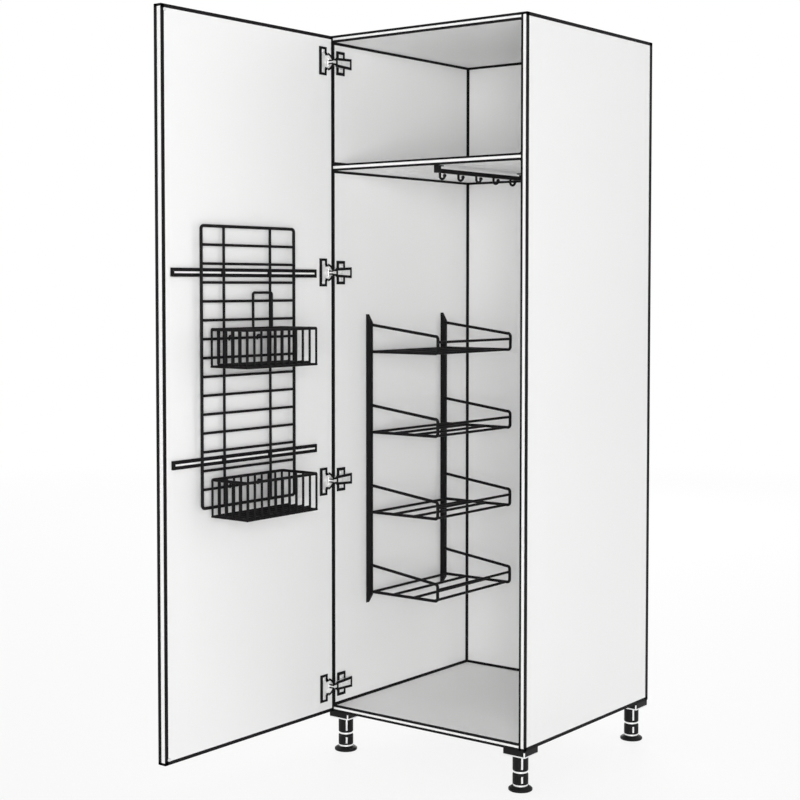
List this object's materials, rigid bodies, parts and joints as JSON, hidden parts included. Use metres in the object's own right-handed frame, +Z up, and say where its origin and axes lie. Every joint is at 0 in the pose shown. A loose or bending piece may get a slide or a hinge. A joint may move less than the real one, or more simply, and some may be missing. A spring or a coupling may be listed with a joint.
{
  "type": "broom cabinet",
  "caption": "Tall kitchen broom cabinet with one hinged door, a fixed shelf, wire side trays, hanging door baskets, a hook rail and adjustable legs.",
  "frame": {"origin": "on the floor, midway across the cabinet, in the plane of its front edges", "axes": "+X to the right seen from the front, +Y into the cabinet, +Z up"},
  "size_m": [0.606, 1.2001, 1.834],
  "materials": {
    "white_board": "smooth white melamine on chipboard",
    "white_back": "smooth white lacquer on thin hardboard",
    "white_edging": "smooth white plastic edging",
    "dowel_wood": "plain beech",
    "zinc": "bright zinc plating",
    "black_zinc": "blackened zinc plating",
    "leg_steel": "turned steel",
    "nickel": "satin nickel plating",
    "black_plastic": "satin moulded plastic",
    "black_wire": "satin black plastic coating on steel",
    "white_metal": "satin white powder coat",
    "clear_rubber": "soft translucent bumper"
  },
  "bodies": {
    "cabinet": {"side_panel_left": "white_board", "side_panel_right": "white_board", "top_panel": "white_board", "bottom_panel": "white_board", "fixed_shelf": "white_board", "back_panel": "white_back", "edge_banding": "white_edging", "dowels": "dowel_wood", "cam_housings": "zinc", "cam_bolts": "zinc", "back_nails": "zinc", "leg_sockets": "black_plastic", "leg_plates": "zinc", "leg_tubes": "black_plastic", "leg_screws": "zinc", "hinge_plates": "nickel", "hinge_arms": "nickel", "hinge_screws": "zinc", "rack_upright_front": "black_wire", "rack_upright_back": "black_wire", "rack_screws": "black_zinc", "tray_1": "black_wire", "tray_2": "black_wire", "tray_3": "black_wire", "tray_4": "black_wire", "hook_rail": "black_wire", "rail_brackets": "black_plastic", "rail_hooks": "black_wire", "rail_screws": "zinc"},
    "door": {"door_panel": "white_board", "door_edging": "white_edging", "door_bumpers": "clear_rubber", "hinge_cups": "nickel", "hinge_pins": "nickel", "cup_screws": "zinc", "bar_lower": "white_metal", "bar_upper": "white_metal", "bar_screws": "white_metal", "door_grid": "black_wire", "grid_clips": "black_plastic"},
    "basket_lower": {"basket_lower": "black_wire"},
    "basket_upper": {"basket_upper": "black_wire"},
    "foot_front_left": {"foot_front_left": "black_plastic"},
    "adjuster_front_left": {"stem_front_left": "leg_steel", "ring_front_left": "black_plastic"},
    "foot_front_right": {"foot_front_right": "black_plastic"},
    "adjuster_front_right": {"stem_front_right": "leg_steel", "ring_front_right": "black_plastic"},
    "foot_back_left": {"foot_back_left": "black_plastic"},
    "adjuster_back_left": {"stem_back_left": "leg_steel", "ring_back_left": "black_plastic"},
    "foot_back_right": {"foot_back_right": "black_plastic"},
    "adjuster_back_right": {"stem_back_right": "leg_steel", "ring_back_right": "black_plastic"}
  },
  "joints": [
    {"name": "door_hinge", "type": "hinge", "parent": "cabinet", "child": "door", "pos_m": [-0.291, -0.0106, 0.969], "axis": [0, 0, 1], "range_deg": [-10, 90]},
    {"name": "basket_lower_lift", "type": "slide", "parent": "door", "child": "basket_lower", "axis": [0, 0, 1], "range_m": [0, 0.02]},
    {"name": "basket_upper_lift", "type": "slide", "parent": "door", "child": "basket_upper", "axis": [0, 0, 1], "range_m": [0, 0.02]},
    {"name": "foot_front_left_slide", "type": "slide", "parent": "cabinet", "child": "foot_front_left", "axis": [0, 0, -1], "range_m": [0, 0.02]},
    {"name": "adjuster_front_left_turn", "type": "hinge", "parent": "foot_front_left", "child": "adjuster_front_left", "pos_m": [-0.269, 0.031, 0.025], "axis": [0, 0, -1], "range_deg": [0, 1440]},
    {"name": "foot_front_right_slide", "type": "slide", "parent": "cabinet", "child": "foot_front_right", "axis": [0, 0, -1], "range_m": [0, 0.02]},
    {"name": "adjuster_front_right_turn", "type": "hinge", "parent": "foot_front_right", "child": "adjuster_front_right", "pos_m": [0.269, 0.031, 0.025], "axis": [0, 0, -1], "range_deg": [0, 1440]},
    {"name": "foot_back_left_slide", "type": "slide", "parent": "cabinet", "child": "foot_back_left", "axis": [0, 0, -1], "range_m": [0, 0.02]},
    {"name": "adjuster_back_left_turn", "type": "hinge", "parent": "foot_back_left", "child": "adjuster_back_left", "pos_m": [-0.269, 0.569, 0.025], "axis": [0, 0, -1], "range_deg": [0, 1440]},
    {"name": "foot_back_right_slide", "type": "slide", "parent": "cabinet", "child": "foot_back_right", "axis": [0, 0, -1], "range_m": [0, 0.02]},
    {"name": "adjuster_back_right_turn", "type": "hinge", "parent": "foot_back_right", "child": "adjuster_back_right", "pos_m": [0.269, 0.569, 0.025], "axis": [0, 0, -1], "range_deg": [0, 1440]}
  ],
  "couplings": [
    {"joint": "adjuster_front_left_turn", "follows": "foot_front_left_slide", "rad_per_m": 1256.6},
    {"joint": "adjuster_front_right_turn", "follows": "foot_front_right_slide", "rad_per_m": 1256.6},
    {"joint": "adjuster_back_left_turn", "follows": "foot_back_left_slide", "rad_per_m": 1256.6},
    {"joint": "adjuster_back_right_turn", "follows": "foot_back_right_slide", "rad_per_m": 1256.6}
  ]
}
